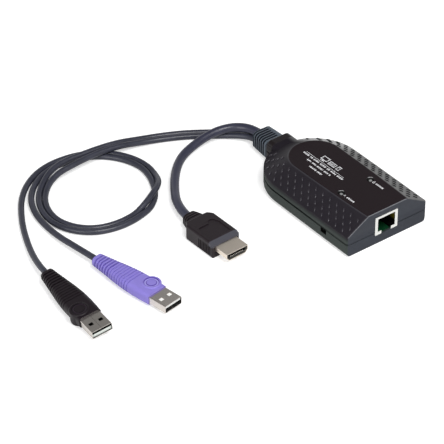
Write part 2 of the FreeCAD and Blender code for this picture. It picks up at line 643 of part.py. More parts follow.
def data_grip():
    body = Part.makeLoft([section(x, w, h, r) for x, w, h, r in GRIP_STATIONS], True, False)
    body = rounded(body, 1.0, lambda m, e: m.x < -GRIP_LEN + 0.01)
    ear = Part.makeCylinder(EAR_D / 2, 2 * EAR_HALF_H, V(EAR_X, EAR_Y, -EAR_HALF_H))
    body = body.fuse(rounded(ear, 0.6, lambda m, e: abs(abs(m.z) - EAR_HALF_H) < 0.01))
    # dish with a raised pad in both faces of the ear
    for s in (1, -1):
        floor = s * (EAR_HALF_H - EAR_DISH)
        dish = rod(EAR_X, EAR_Y, *sorted((floor, s * (EAR_HALF_H + 1))), EAR_D - 2.6)
        pad = rod(EAR_X, EAR_Y, *sorted((floor - s, floor + s * 0.25)), EAR_D - 5.2)
        body = body.cut(dish.cut(pad))
    # deep grooves at the rear, shallow ones further on
    for i in range(6):
        x = -GRIP_LEN + 3.0 + 2.1 * i
        w, h, r = station(x)
        body = body.cut(collar(x - 0.5, x + 0.5, 12, w - 0.75, h - 0.75, max(r - 0.5, 0.5)))
    for i in range(8):
        x = -GRIP_LEN + 15.5 + 1.95 * i
        w, h, r = station(x)
        body = body.cut(collar(x - 0.3, x + 0.3, 12, w - 0.35, h - 0.35, max(r - 0.2, 0.5)))
    body = body.cut(box(-PLUG_IN - 1, 1, -PLUG_W / 2 - FIT, PLUG_W / 2 + FIT,
                        -PLUG_H / 2 - FIT, PLUG_H / 2 + FIT))
    return body.cut(Part.makeCylinder(DATA_D / 2 + FIT, 11, V(-GRIP_LEN - 1, 0, 0), V(1, 0, 0)))


def data_sleeve():
    out = bar(-PLUG_IN, PLUG_OUT, PLUG_W / 2, PLUG_H / 2, 0.5)
    out = out.cut(bar(-PLUG_IN - 1, PLUG_OUT + 1, PLUG_W / 2 - PLUG_SKIN, PLUG_H / 2 - PLUG_SKIN, 0.25))
    for y in (-2.9, 2.9):
        out = out.cut(box(5.0, 7.1, y - 1.15, y + 1.15, -5, 5))
    seam = box(-PLUG_IN - 1, PLUG_OUT + 1, -0.06, 0.06, -5, 0)
    return out.cut(seam)


def data_tongue():
    top = PLUG_H / 2 - PLUG_SKIN - FIT
    w = PLUG_W / 2 - PLUG_SKIN - FIT
    body = box(-PLUG_IN, PLUG_OUT - 0.7, -w, w, top - TONGUE_T, top)
    body = body.fuse(box(-PLUG_IN, 0.8, -w, w, -top, top))
    return body.common(bar(-PLUG_IN, PLUG_OUT, w, top, 0.3)).removeSplitter()


def data_contacts():
    top = PLUG_H / 2 - PLUG_SKIN - FIT - TONGUE_T
    out = []
    for y, end in ((-3.5, 1.4), (-1.0, 2.4), (1.0, 2.4), (3.5, 1.4)):
        out.append(box(0.85, PLUG_OUT - end, y - 0.5, y + 0.5, top - 0.2, top))
    return Part.makeCompound(out)


# ================= video plug =================
def video_outline(inset):
    w, h, c = VSLEEVE_W / 2 - inset, VSLEEVE_H / 2 - inset, VSLEEVE_CUT
    return [(-w, h), (w, h), (w, -h + 1.7), (w - c, -h), (-w + c, -h), (-w, -h + 1.7)]


def video_bar(inset, x0, x1):
    return prism([(x0, y, z) for y, z in video_outline(inset)], (x1 - x0, 0, 0))


def video_grip():
    hw, hh, rear = VGRIP_HALF, VGRIP_HALF_H, -VGRIP_LEN
    plan = [(0, -hw + 0.6), (0, hw - 0.6), (-0.6, hw), (rear + 3.0, hw), (rear, hw - 2.4),
            (rear, -hw + 2.4), (rear + 3.0, -hw), (-0.6, -hw)]
    body = prism([(x, y, -hh) for x, y in plan], (0, 0, 2 * hh))
    body = rounded(body, 2.0, lambda m, e: abs(m.z) < 0.01 and m.x < rear + 4)
    body = rounded(body, 1.1, lambda m, e: abs(m.z) > hh - 0.01 and m.x < -0.7)
    # wide bevel along the front of the top face
    body = body.cut(prism([(-3.4, -20, hh), (0.1, -20, hh - 2.0), (0.1, -20, hh + 1), (-3.4, -20, hh + 1)],
                          (0, 40, 0)))
    neck = Part.makeLoft([section(rear + 2, 5.9, 4.2, 2.2), section(rear - 2.4, 5.2, 4.0, 2.4),
                          section(rear - VNECK_LEN, 4.3, 3.6, 2.6)], True, False)
    for i in range(3):
        x = rear - 1.0 - 1.9 * i
        neck = neck.cut(collar(x - 0.9, x, 12, 4.3 - 0.3 * i, 3.3 - 0.1 * i, 2.0))
    body = body.fuse(neck)
    # shallow panel on the top face, closed to the rear by an arch
    panel = box(-15.5, -4.0, -6.6, 6.6, hh - 0.35, hh + 1)
    panel = rounded(panel, 1.6, lambda m, e: abs(abs(m.y) - 6.6) < 0.01 and m.x < -15.4)
    arch = Part.makeCylinder(2.4, 2, V(-15.5, 3.4, hh - 0.35))
    body = body.cut(panel.fuse(arch))
    for i in range(8):
        x = -1.9 - 1.3 * i
        for s in (1, -1):
            y0, y1 = sorted((s * (hw - 0.45), s * (hw + 1)))
            body = body.cut(box(x - 0.35, x + 0.35, y0, y1, -3.4, 2.2))
    body = body.cut(video_bar(-FIT, -VSLEEVE_IN - 0.5, 1))
    hole = Part.makeCylinder(VIDEO_D / 2 + FIT, 13.0, V(rear - VNECK_LEN - 1, 0, 0), V(1, 0, 0))
    return body.cut(hole)


def video_sleeve():
    out = video_bar(0, -VSLEEVE_IN, VSLEEVE_OUT)
    return out.cut(video_bar(VSLEEVE_SKIN, -VSLEEVE_IN - 1, VSLEEVE_OUT + 1))


def video_insert():
    """Plastic filling of the sleeve with the slot for the socket's tongue."""
    body = video_bar(VSLEEVE_SKIN + FIT, -VSLEEVE_IN, VSLEEVE_OUT - 0.5)
    return body.cut(box(0.8, VSLEEVE_OUT + 1, -VSLOT_W / 2, VSLOT_W / 2, -0.55, 1.15))


def video_contacts():
    out = []
    for i in range(10):
        y = (i - 4.5)
        out.append(box(1.0, VSLEEVE_OUT - 0.9, y - 0.2, y + 0.2, 0.9, 1.15 - 0.01))
    for i in range(9):
        y = (i - 4.0)
        out.append(box(1.0, VSLEEVE_OUT - 0.55, y - 0.25, y + 0.25, -0.54, -0.1))
    return Part.makeCompound(out)


# ================= cords =================
def last_run(where, grip_len):
    """The last two points of a cord, on its plug's own axis."""
    (x, y, z), heading, roll = where
    c, s = math.cos(math.radians(heading)), math.sin(math.radians(heading))
    bend = grip_len + LAST_BEND
    return [(x - d * c, y - d * s, z) for d in (bend, bend - LAST_RUN)]


def video_cord():
    route = VIDEO_ROUTE + last_run(VIDEO_PLUG, VGRIP_LEN + VNECK_LEN)
    return tube(route, VIDEO_D, "video_cord")


def data_cord(sign, tail, plug, name):
    route = beside(PAIR_ROUTE, sign) + tail + last_run(plug, GRIP_LEN)
    return tube(route, DATA_D, name)


def nodes():
    top = BOARD_TOP
    jack_side = V(0, JACK_Y, 0)
    parts = {
        "upper_cover": upper_cover(),
        "lower_cover": lower_cover(),
        "case_screws": case_screws(),
        "circuit_board": circuit_board(),
        "network_jack_cover": jack_shield().translated(jack_side),
        "network_jack_body": jack_body().translated(jack_side),
        "network_jack_contacts": jack_contacts().translated(jack_side),
        "network_transformer": chip(12.5, 3.0, 12.8, 9.5, 5.2, 8, 1.4),
        "controller_chip": chip(-6.0, 0.0, 15.0, 14.0, 1.4, 14, 1.0),
        "video_chip": chip(-4.0, -15.5, 10.0, 6.0, 1.1, 9, 1.0),
        "memory_chip": chip(-7.0, 15.5, 9.5, 5.6, 1.1, 8, 1.0),
        "capacitors": capacitors(),
        "light_pipe_power": light_pipe(*LIGHTS[0]),
        "light_pipe_link": light_pipe(*LIGHTS[1]),
        "lamp_power": lamp(*LIGHTS[0]),
        "lamp_link": lamp(*LIGHTS[1]),
        "switch_body": switch_body(),
        "switch_knob": switch_knob(),
        "cord_boot": cord_boot(),
        "video_header": header(-32.0, 0.0, 9, 1.5, top + 5.2),
        "data_header_a": header(-32.0, 11.0, 3, 1.5, top + 4.0),
        "data_header_b": header(-32.0, -11.0, 3, 1.5, top + 4.0),
        "video_leads": video_leads(),
        "data_leads": data_leads(),
        "video_cord": video_cord(),
        "data_cord_a": data_cord(1, TAIL_A, BLACK_PLUG, "data_cord_a"),
        "data_cord_b": data_cord(-1, TAIL_B, PURPLE_PLUG, "data_cord_b"),
        "video_plug_grip": placed(video_grip(), VIDEO_PLUG),
        "video_plug_sleeve": placed(video_sleeve(), VIDEO_PLUG),
        "video_plug_insert": placed(video_insert(), VIDEO_PLUG),
        "video_plug_contacts": placed(video_contacts(), VIDEO_PLUG),
    }
    for name, where, flip in (("black_plug", BLACK_PLUG, True), ("purple_plug", PURPLE_PLUG, False)):
        parts[name + "_grip"] = placed(data_grip(), where, flip)
        parts[name + "_sleeve"] = placed(data_sleeve(), where, flip)
        parts[name + "_tongue"] = placed(data_tongue(), where, flip)
        parts[name + "_contacts"] = placed(data_contacts(), where, flip)
    return parts


os.makedirs("parts", exist_ok=True)
for node, shape in nodes().items():
    print(node, "solids", len(shape.Solids), "valid", shape.isValid(), "volume %.1f" % shape.Volume)
    shape.exportStep("parts/" + node + ".step")
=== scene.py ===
# %% [markdown]
# # A small keyboard, video and mouse adapter
#
# The flat black housing takes a network cable in front. Three cords leave its
# tail: a thick one with a video plug, and two thin ones with flat data plugs.
#
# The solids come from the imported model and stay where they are. This file adds
# what a solid model lacks: smooth cords, print, lamp windows, the pattern on the
# flanks and a finish for every surface. Blender works in metres; sizes here are
# written in millimetres and multiplied by MM.

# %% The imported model
import math
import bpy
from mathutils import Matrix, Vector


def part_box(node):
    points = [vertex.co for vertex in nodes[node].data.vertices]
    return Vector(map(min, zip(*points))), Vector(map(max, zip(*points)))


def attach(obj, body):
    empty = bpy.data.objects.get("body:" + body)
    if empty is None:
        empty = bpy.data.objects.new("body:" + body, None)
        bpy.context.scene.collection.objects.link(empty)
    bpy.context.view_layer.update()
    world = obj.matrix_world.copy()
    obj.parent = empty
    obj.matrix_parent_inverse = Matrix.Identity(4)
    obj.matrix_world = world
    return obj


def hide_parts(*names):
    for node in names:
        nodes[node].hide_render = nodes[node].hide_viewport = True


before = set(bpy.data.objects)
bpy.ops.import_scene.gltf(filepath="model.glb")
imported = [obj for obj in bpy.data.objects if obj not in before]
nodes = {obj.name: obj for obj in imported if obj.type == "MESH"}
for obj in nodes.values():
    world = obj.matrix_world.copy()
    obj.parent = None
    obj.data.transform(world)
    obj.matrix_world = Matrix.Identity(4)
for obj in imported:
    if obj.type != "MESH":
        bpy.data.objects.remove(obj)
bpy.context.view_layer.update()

from types import SimpleNamespace

import bmesh
import bpy
from mathutils import Matrix, Vector
from mathutils.bvhtree import BVHTree

MM = 0.001

# %% [markdown]
# ## Camera
#
# A long lens far away keeps the parallel edges of the housing nearly parallel.
# Four facts set the camera: the point it aims at, its direction round the
# object, its height angle and its distance.

# %% Camera
AIM = Vector((-0.01815, -0.06005, 0.0))
AZIMUTH = math.radians(52.6)
ELEVATION = math.radians(36.74)
DISTANCE = 1.5
LENS = 227.3

back = Vector((
    math.sin(AZIMUTH) * math.cos(ELEVATION),
    -math.cos(AZIMUTH) * math.cos(ELEVATION),
    math.sin(ELEVATION),
))
camera = bpy.data.objects.new("camera", bpy.data.cameras.new("camera"))
camera.data.lens = LENS
camera.data.sensor_width = 36.0
camera.data.clip_start, camera.data.clip_end = 0.1, 20.0
camera.location = AIM + back * DISTANCE
camera.rotation_euler = back.to_track_quat("Z", "Y").to_euler()
bpy.context.scene.collection.objects.link(camera)
bpy.context.scene.camera = camera
print("camera at", [round(v, 3) for v in camera.location])

# %% [markdown]
# ## Shader maths
#
# A finish is a small graph of nodes. Written as wires it is hard to read, so
# one class stands for a node's output and lets plain arithmetic add the Math
# nodes, and another holds the material and adds any other node.


# %% Signals
class Signal:
    """One output of a node. Arithmetic on it adds Math nodes."""

    def __init__(self, finish, socket):
        self.finish, self.socket = finish, socket

    def math(self, operation, *others):
        values = dict(enumerate((self, *others)))
        return self.finish.node("ShaderNodeMath", {"operation": operation}, values)

    def __add__(self, other):
        return self.math("ADD", other)

    def __sub__(self, other):
        return self.math("SUBTRACT", other)

    def __mul__(self, other):
        return self.math("MULTIPLY", other)

    def __rsub__(self, other):
        return self * -1.0 + other

    __radd__, __rmul__ = __add__, __mul__

    def stripes(self, start, pitch, count, half):
        """1 within half of start, start + pitch and so on for count stripes, else 0."""
        from_stripe = (self - start).math("PINGPONG", pitch / 2)
        from_middle = (self - (start + pitch * (count - 1) / 2)).math("ABSOLUTE")
        on_stripe = 1.0 - from_stripe.above(half, half * 0.3)
        reach = pitch * (count - 0.5) / 2
        return on_stripe * (1.0 - from_middle.above(reach, half * 0.1))

    def above(self, edge, soft):
        """0 below the edge, 1 above it, with a soft step between."""
        return self.finish.node(
            "ShaderNodeMapRange", {"interpolation_type": "SMOOTHSTEP"},
            {"Value": self, "From Min": edge - soft, "From Max": edge + soft})


# %% Finishes
class Finish:
    """A material. node() adds a node, coat() feeds the main shader."""

    def __init__(self, name, **values):
        self.material = bpy.data.materials.new(name)
        self.material.use_nodes = True
        self.tree = self.material.node_tree
        self.main = self.tree.nodes["Principled BSDF"]
        self.coat({key.replace("_", " "): value for key, value in values.items()})

    def feed(self, node, values):
        for key, value in values.items():
            if isinstance(value, Signal):
                self.tree.links.new(value.socket, node.inputs[key])
            else:
                node.inputs[key].default_value = value

    def node(self, kind, settings, values, output=0):
        new = self.tree.nodes.new(kind)
        for key, value in settings.items():
            setattr(new, key, value)
        self.feed(new, values)
        return Signal(self, new.outputs[output])

    def coat(self, values):
        self.feed(self.main, values)
        return self

    def show(self, shader):
        """Puts another shader at the output, in the main one's place."""
        self.feed(self.tree.nodes["Material Output"], {"Surface": shader})

    def gloss(self):
        return Signal(self, self.main.outputs[0])

    def place(self):
        """A point's place in the object's own axes."""
        return self.node("ShaderNodeTexCoord", {}, {}, "Object")

    def axis(self, letter, where=None):
        """One coordinate, X, Y or Z, of the place or of another vector."""
        return self.node("ShaderNodeSeparateXYZ", {}, {"Vector": where or self.place()}, letter)

    def beside_plug(self, origin, heading, roll=0.0):
        """Place measured from a plug's own origin, along its own axis."""
        return self.node("ShaderNodeMapping", {"vector_type": "TEXTURE"},
                         {"Vector": self.place(), "Location": Vector(origin) * MM,
                          "Rotation": (math.radians(roll), 0, math.radians(heading))})

    def noise(self, size, detail=2.0, stretch=(1, 1, 1)):
        """Noise whose patches are about size metres across."""
        where = self.node("ShaderNodeMapping", {}, {"Vector": self.place(), "Scale": stretch})
        return self.node("ShaderNodeTexNoise", {},
                         {"Vector": where, "Scale": 1 / size, "Detail": detail})

    def mix(self, share, low, high):
        """low where share is 0, high where it is 1. Both are colours."""
        return self.node("ShaderNodeMix", {"data_type": "RGBA"}, {0: share, 6: low, 7: high}, 2)

    def bump(self, height, depth):
        return self.node("ShaderNodeBump", {}, {"Height": height, "Distance": depth})


def rgb(red, green, blue):
    return (red, green, blue, 1.0)


# %% [markdown]
# ## The three cords
#
# A cord is a curve with a round section. Its control points are those that the
# solid model's tubes follow, some of them moved by a few millimetres so that the
# bends lie as on the real cords. A spline of order 3 rounds every corner evenly,
# where straight runs joined by arcs would look like bent wire.

# %% Routes, in millimetres
VIDEO_D = 5.0
DATA_D = 3.4

VIDEO_ROUTE = [
    (-56.4, 0.0, 8.0), (-66.0, 0.0, 8.0), (-74.7, -4.3, 7.4), (-79.7, -12.4, 6.5),
    (-81.0, -22.0, 5.4), (-80.2, -32.0, 3.7), (-77.3, -42.0, 2.7), (-70.9, -50.9, 2.55),
    (-62.2, -58.9, 2.55), (-52.7, -65.8, 2.8), (-43.6, -71.6, 3.9)]

# The two data cords run as a pair: middle x, y, lift of cord a, lift of
# cord b, and how far cord a stands to the left of the middle.
PAIR_ROUTE = [
    (-56.4, 0.0, 2.3, 2.3, 1.73), (-66.0, 0.0, 2.3, 2.3, 1.73), (-74.5, -4.8, 1.1, 1.1, 1.73),
    (-81.8, -12.0, 0.05, 0.05, 1.73), (-88.0, -20.5, 0.05, 0.05, 1.73),
    (-94.3, -30.2, 0.05, 0.05, 1.73), (-99.6, -41.3, 0.05, 0.05, 1.73),
    (-103.1, -53.2, 0.9, 0.9, 1.73), (-104.5, -65.5, 3.3, 3.3, 1.73),
    (-105.9, -77.6, 3.8, 3.8, 1.73), (-106.2, -88.7, 3.8, 3.8, 2.2),
    (-106.1, -98.9, 3.8, 3.8, 3.0), (-105.0, -108.2, 3.2, 3.2, 2.5),
    (-101.5, -116.7, 1.4, 1.4, 1.8), (-94.6, -124.5, 0.1, 0.1, 1.73),
    (-85.2, -130.0, 0.05, 0.05, 1.73), (-74.7, -132.3, 0.05, 0.05, 1.73),
    (-65.3, -130.9, 0.05, 0.05, 1.73), (-57.0, -126.2, 0.05, 0.05, 1.73),
    (-51.0, -119.1, 0.05, 0.05, 1.73), (-48.0, -110.1, 0.05, 0.05, 1.73),
    (-47.5, -100.7, 0.05, 0.05, 1.73), (-48.9, -92.3, 0.05, 0.05, 1.73),
    (-51.0, -85.0, 2.3, 0.05, 1.5), (-55.0, -78.3, 3.7, 0.05, 0.6),
    (-59.6, -73.1, 3.7, 0.05, -0.6), (-65.4, -69.1, 2.3, 0.05, -1.5),
    (-72.1, -66.1, 0.05, 0.05, -1.73), (-81.0, -64.3, 0.05, 0.05, -1.73),
    (-90.7, -65.8, 0.05, 0.05, -1.73), (-99.8, -70.5, 0.05, 0.05, -1.73),
    (-106.6, -76.8, 0.05, 0.05, -1.73)]

# Each data cord's own way from there to its plug.
TAIL_A = [
    (-112.9, -84.3, 1.75), (-115.5, -95.1, 1.75), (-115.6, -106.4, 1.75), (-112.4, -117.4, 1.75),
    (-105.9, -127.5, 1.75), (-97.5, -135.8, 1.75), (-87.0, -142.9, 1.75), (-76.3, -148.9, 1.75),
    (-66.0, -153.6, 1.9), (-56.3, -157.6, 2.6), (-46.7, -160.9, 3.7)]
TAIL_B = [
    (-110.3, -86.9, 1.75), (-112.3, -97.0, 1.75), (-111.9, -107.1, 1.75), (-108.4, -117.0, 1.75),
    (-101.6, -126.0, 1.75), (-92.8, -132.7, 1.75), (-82.0, -136.8, 1.75), (-70.3, -138.4, 1.9),
    (-57.2, -138.8, 2.7), (-44.3, -137.7, 3.8)]

# The last bend and the end of each cord, on its plug's own axis.
VIDEO_END = [(-30.579, -75.764, 4.8), (-22.184, -75.471, 4.8)]
DATA_END_A = [(-36.451, -163.360, 4.95), (-28.077, -164.019, 4.95)]
DATA_END_B = [(-31.865, -135.905, 3.95), (-23.576, -134.548, 3.95)]


# %% The pair of data cords
def beside(rows, sign):
    """One cord of the pair: the middle line stepped sideways and lifted."""
    out = []
    for i, (x, y, lift_a, lift_b, side) in enumerate(rows):
        x0, y0 = rows[max(i - 1, 0)][:2]
        x1, y1 = rows[min(i + 1, len(rows) - 1)][:2]
        n = math.hypot(x1 - x0, y1 - y0)
        left = (-(y1 - y0) / n, (x1 - x0) / n)
        lift = lift_a if sign > 0 else lift_b
        out.append((x + sign * side * left[0], y + sign * side * left[1], DATA_D / 2 + lift))
    return out


ROUTE_A = beside(PAIR_ROUTE, 1) + TAIL_A + DATA_END_A
ROUTE_B = beside(PAIR_ROUTE, -1) + TAIL_B + DATA_END_B
print("route points", len(VIDEO_ROUTE + VIDEO_END), len(ROUTE_A), len(ROUTE_B))

# %% [markdown]
# ## Cord jackets
#
# Soft plastic is never one even tone: it is a little darker here and glossier
# there, and very fine dimples break up its reflections. The thick cord's jacket
# is from another batch and bluer, so each kind of cord has its own two tones.


# %% Cord jackets
def jacket(name, deep, pale):
    """Slate grey soft plastic, a little uneven in tone and gloss along its length."""
    made = Finish(name, Specular_IOR_Level=0.5)
    patches = made.noise(6 * MM, 3.0)
    made.coat({
        "Base Color": made.mix(patches, deep, pale),
        "Roughness": patches * 0.16 + 0.27,
        "Normal": made.bump(made.noise(0.5 * MM), 0.012 * MM)})
    return made.material


DATA_JACKET = jacket("data_jacket", rgb(0.017, 0.018, 0.028), rgb(0.041, 0.043, 0.064))
VIDEO_JACKET = jacket("video_jacket", rgb(0.020, 0.020, 0.038), rgb(0.040, 0.042, 0.072))


# %% Cords
def cord(name, route, diameter, node, finish):
    """A round cord along a smooth spline through the route's control points."""
    curve = bpy.data.curves.new(name, "CURVE")
    curve.dimensions = "3D"
    curve.bevel_depth = diameter * MM / 2
    curve.bevel_resolution = 7
    curve.resolution_u = 10
    curve.use_fill_caps = True
    spline = curve.splines.new("NURBS")
    spline.points.add(len(route) - 1)
    for point, (x, y, z) in zip(spline.points, route):
        point.co = (x * MM, y * MM, z * MM, 1.0)
    spline.order_u = 3
    spline.use_endpoint_u = True
    curve.materials.append(finish)
    made = bpy.data.objects.new(name, curve)
    bpy.context.scene.collection.objects.link(made)
    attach(made, "adapter")
    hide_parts(node)
    print(name, "points", len(route))
    return made


cord("video_lead", VIDEO_ROUTE + VIDEO_END, VIDEO_D, "video_cord",
     VIDEO_JACKET)
cord("data_lead_a", ROUTE_A, DATA_D,
     "data_cord_a", DATA_JACKET)
cord("data_lead_b", ROUTE_B, DATA_D,
     "data_cord_b", DATA_JACKET)

# %% [markdown]
# ## The housing's plastic
#
# Both covers are moulded in one dark plastic, but the tool's surface differs:
# the deck is smooth, the flanks are satin, and the upright wall and the front
# face have a fine spark texture that scatters more light. Their paler colour is
# partly that and partly painted light from the bright floor that they face. The
# neck is dark and glossy. The seam and the switch slot are deep, so they are
# painted nearly black as shade. The crease round the deck and the edge of the
# front face are painted paler as highlights, and the far flank is painted
# greyer, most of all towards the tail, as a painted reflection of the white
# horizon.
#
# The zones follow the shape, so their masks come from heights and lengths.

# %% Zones of the housing, in millimetres
DECK_Z, DECK_RISE = 20.536, 0.012  # height at mid length, and rise per mm forwards
WALL_Z, WALL_RISE = 12.477, 0.009  # the same for the top of the upright wall
FRONT_X, NECK_X = 46.85, -41.6
SEAM_Z, SEAM_HALF = 8.3, 0.5
SEAM_PITCH = 9.0  # stripes() asks for one, though there is one seam only
SLOT_X, SLOT_HALF, SLOT_Z = 27.4, 2.6, 2.5
SLOT_MOUTH_Y, SLOT_BACK_Y = -27.3, -20.0


def slot_mask(x, y, z):
    """1 on the walls of the switch slot, behind the wall's outer face, painted near black as
    shade.
    """
    along = (x - SLOT_X * MM).math("ABSOLUTE").math("LESS_THAN", SLOT_HALF * MM)
    deep = y.above(SLOT_MOUTH_Y * MM, 0.05 * MM) * (1.0 - y.above(SLOT_BACK_Y * MM, 1 * MM))
    return along * deep * z.above(SLOT_Z * MM, 0.2 * MM)


def zones(made):
    """The housing's masks: each is 1 on its own part and 0 off it."""
    x, y, z = made.axis("X"), made.axis("Y"), made.axis("Z")
    over_deck, over_wall = z - x * DECK_RISE, z - x * WALL_RISE
    on = SimpleNamespace()
    on.deck = over_deck.above((DECK_Z - 0.16) * MM, 0.05 * MM)
    # The strip under the deck's edge is painted paler as a highlight.
    on.crease = over_deck.above((DECK_Z - 0.55) * MM, 0.15 * MM) - on.deck
    on.wall = 1.0 - over_wall.above((WALL_Z - 1.5) * MM, 1.5 * MM)
    below_rim = over_wall.above((WALL_Z - 2.2) * MM, 1.2 * MM)
    on.rim = below_rim - over_wall.above(WALL_Z * MM, 0.1 * MM)
    # The far flank and its tail end are painted greyer as a reflection of the white horizon.
    on.far = y.above(8 * MM, 6 * MM)
    on.far_tail = on.far * (1.0 - x.above(-13 * MM, 7 * MM))
    on.near_tail = (1.0 - x.above(-30 * MM, 9 * MM)) * (1.0 - on.far)
    on.front = x.above(FRONT_X * MM, 0.05 * MM)
    on.neck = 1.0 - x.above(NECK_X * MM, 0.4 * MM)
    on.slot = slot_mask(x, y, z) * on.wall
    # seam: where the seam is painted near black as shade, less on the front face and towards the
    # front end.
    seam = z.stripes(SEAM_Z * MM, SEAM_PITCH * MM, 1, SEAM_HALF * MM)
    on.seam = seam * (1.0 - on.front * 0.7) * (1.0 - x.above(20 * MM, 12 * MM) * 0.45)
    return on


# %% Edge of the front face
FRONT_TOP = 21.1  # the deck's height there
CREASE_Y = -13.2  # where the near flank starts
FLANK_SIN, FLANK_COS = 0.503, 0.864  # of the flank's slope


def front_edge_highlight(made):
    """1 on the strip of the front face along the deck and the near flank, painted paler as a
    highlight.
    """
    y, z = made.axis("Y"), made.axis("Z")
    below_deck = FRONT_TOP * MM - z
    below_flank = (y - CREASE_Y * MM) * FLANK_SIN + (z - FRONT_TOP * MM) * -FLANK_COS
    strip = 1.0 - below_deck.math("MINIMUM", below_flank).above(0.55 * MM, 0.15 * MM)
    return strip * (1.0 - y.above(14 * MM, 1 * MM))


# %% Colours of the housing
def housing_colour(made, on, patches):
    """Flank and wall first, then each smaller zone painted over them."""
    flank = made.mix(patches, rgb(0.008, 0.006, 0.010), rgb(0.016, 0.013, 0.018))
    # Painted reflection: the far flank greyer, most of all towards the tail.
    flank = made.mix(on.far * 0.8, flank, rgb(0.14, 0.14, 0.14))
    flank = made.mix(on.far_tail, flank, rgb(0.40, 0.40, 0.40))
    # Wall and front face: paler partly for the spark texture and partly as painted light from
    # the bright floor.
    wall = made.mix(patches, rgb(0.020, 0.030, 0.026), rgb(0.034, 0.042, 0.038))
    front = made.mix(patches, rgb(0.026, 0.028, 0.036), rgb(0.036, 0.042, 0.056))
    # A painted highlight along the front face's top and near edges.
    edge = made.mix(patches, rgb(0.12, 0.124, 0.14), rgb(0.20, 0.205, 0.22))
    colour = made.mix(on.wall, flank, wall)
    for zone, paint in [
            # Painted shade in the seam and in the switch slot.
            (on.seam, rgb(0.002, 0.003, 0.003)),
            (on.slot, rgb(0.001, 0.001, 0.001)),
            # A painted highlight along the crease round the deck.
            (on.crease, rgb(0.030, 0.028, 0.034)),
            (on.deck, rgb(0.010, 0.005, 0.007)),
            (on.front, front),
            (on.neck, rgb(0.010, 0.007, 0.008)),
            (on.front * front_edge_highlight(made), edge)]:
        colour = made.mix(zone, colour, paint)
    return colour


# %% [markdown]
# ## The housing's gloss
#
# Roughness alone spreads a highlight but keeps all of its light. Round the near
# tail, along the rim, on the deck and in the seam the real plastic gives back
# less than that, so a Mix Shader gives those places a share of a second shader
# with the same colour and no gloss at all.


# %% Gloss of the housing
def housing_finish():
    made = Finish("housing_plastic", Specular_IOR_Level=0.36)
    on = zones(made)
    patches, spark = made.noise(9 * MM, 3.0), made.noise(0.28 * MM, 3.0)
    colour = housing_colour(made, on, patches)
    rough = (0.40 + on.wall * 0.14 - on.deck * 0.10 + on.front * 0.14
             + on.near_tail * 0.3 - on.neck * 0.5)
    made.coat({"Base Color": colour, "Roughness": rough + patches * 0.06,
               "Normal": made.bump(spark * (0.25 + on.wall * 0.75), 0.03 * MM)})
    matt = made.node("ShaderNodeBsdfPrincipled", {}, {
        "Base Color": colour, "Roughness": 1.0, "Specular IOR Level": 0.0})
    share = on.near_tail * (1.0 - on.wall) * (1.0 - on.neck) * 0.55 + 0.1
    share = share + on.rim * (1.0 - on.front) * 0.4 + on.seam * on.wall * 0.8 + on.deck * 0.3
    made.show(made.node("ShaderNodeMixShader", {}, {
        0: share.math("MINIMUM", 1.0), 1: made.gloss(), 2: matt}))
    print("housing finish nodes", len(made.tree.nodes))
    return made.material


HOUSING = housing_finish()

# %% [markdown]
# ## Plain finishes
#
# Small pieces get simple recipes. Moulded plastic has faint patches and grain.
# Plated sheet has fine drawn lines and cloudy gloss, and where it is deep inside
# something it is shaded, because the light that it would reflect can't get in.


# %% Recipes
def darkened(colour, by):
    return rgb(*(by * part for part in colour[:3]))


def plastic(name, colour, roughness, grain=0.3, depth=0.01):
    """Moulded plastic; grain and depth are its texture in millimetres."""
    made = Finish(name, Specular_IOR_Level=0.5)
    patches = made.noise(5 * MM, 3.0)
    made.coat({"Base Color": made.mix(patches, darkened(colour, 0.82), colour),
               "Roughness": patches * 0.1 + (roughness - 0.05),
               "Normal": made.bump(made.noise(grain * MM), depth * MM)})
    return made.material


def metal(name, colour, roughness, lines=(1, 1, 1), inside=None, shade=rgb(0.02, 0.02, 0.02)):
    """Plated sheet with drawn lines, and shade where inside() is 1."""
    made = Finish(name, Metallic=1.0)
    patches = made.noise(4 * MM, 3.0)
    body = made.mix(patches, darkened(colour, 0.92), colour)
    if inside is not None:
        shaded = inside(made)
        body = made.mix(shaded, body, shade)
        made.coat({"Metallic": 1.0 - shaded})
    made.coat({"Base Color": body,
               "Roughness": patches * 0.12 + (roughness - 0.06),
               "Normal": made.bump(made.noise(0.25 * MM, 1.0, lines), 0.006 * MM)})
    return made.material


PALE_GOLD = metal("pale_gold", rgb(1.0, 0.90, 0.78), 0.34, (1, 1, 5))
GOLD = metal("gold_contact", rgb(0.85, 0.60, 0.22), 0.22)
PALE_CONTACT = metal("pale_contact", rgb(0.95, 0.88, 0.78), 0.25)
DARK_CONTACT = metal("dark_contact", rgb(0.10, 0.09, 0.07), 0.35)
ZINC = metal("zinc_screw", rgb(0.55, 0.56, 0.58), 0.32)
TIN = metal("can", rgb(0.70, 0.70, 0.72), 0.30)
BLACK_PLASTIC = plastic("black_plastic", rgb(0.006, 0.007, 0.007), 0.4)
WHITE_PLASTIC = plastic("white_plastic", rgb(0.52, 0.55, 0.52), 0.4)
CORE = plastic("core_wire", rgb(0.30, 0.05, 0.05), 0.4)
# The switch parts deep in the slot are painted near black as shade.
SLOT_SHADE = Finish("slot_shade", Base_Color=rgb(0.001, 0.001, 0.001), Roughness=0.6,
                    Specular_IOR_Level=0.1).material
CLEAR = Finish("light_pipe", Base_Color=rgb(0.75, 0.78, 0.80), Roughness=0.12, IOR=1.49,
               Transmission_Weight=0.9).material
print("materials so far", len(bpy.data.materials))

# %% [markdown]
# ## Plugs and jack
#
# A data plug is a steel sleeve round a plastic tongue. Little light gets inside
# the sleeve, so its inner faces and the black plug's tongue top are painted dark
# as shade. The masks are measured along each plug's own axis. The jack is a
# plated box with a black body; the board's green and the wires' gold are painted
# faintly on the body and inside the box, as painted reflections.

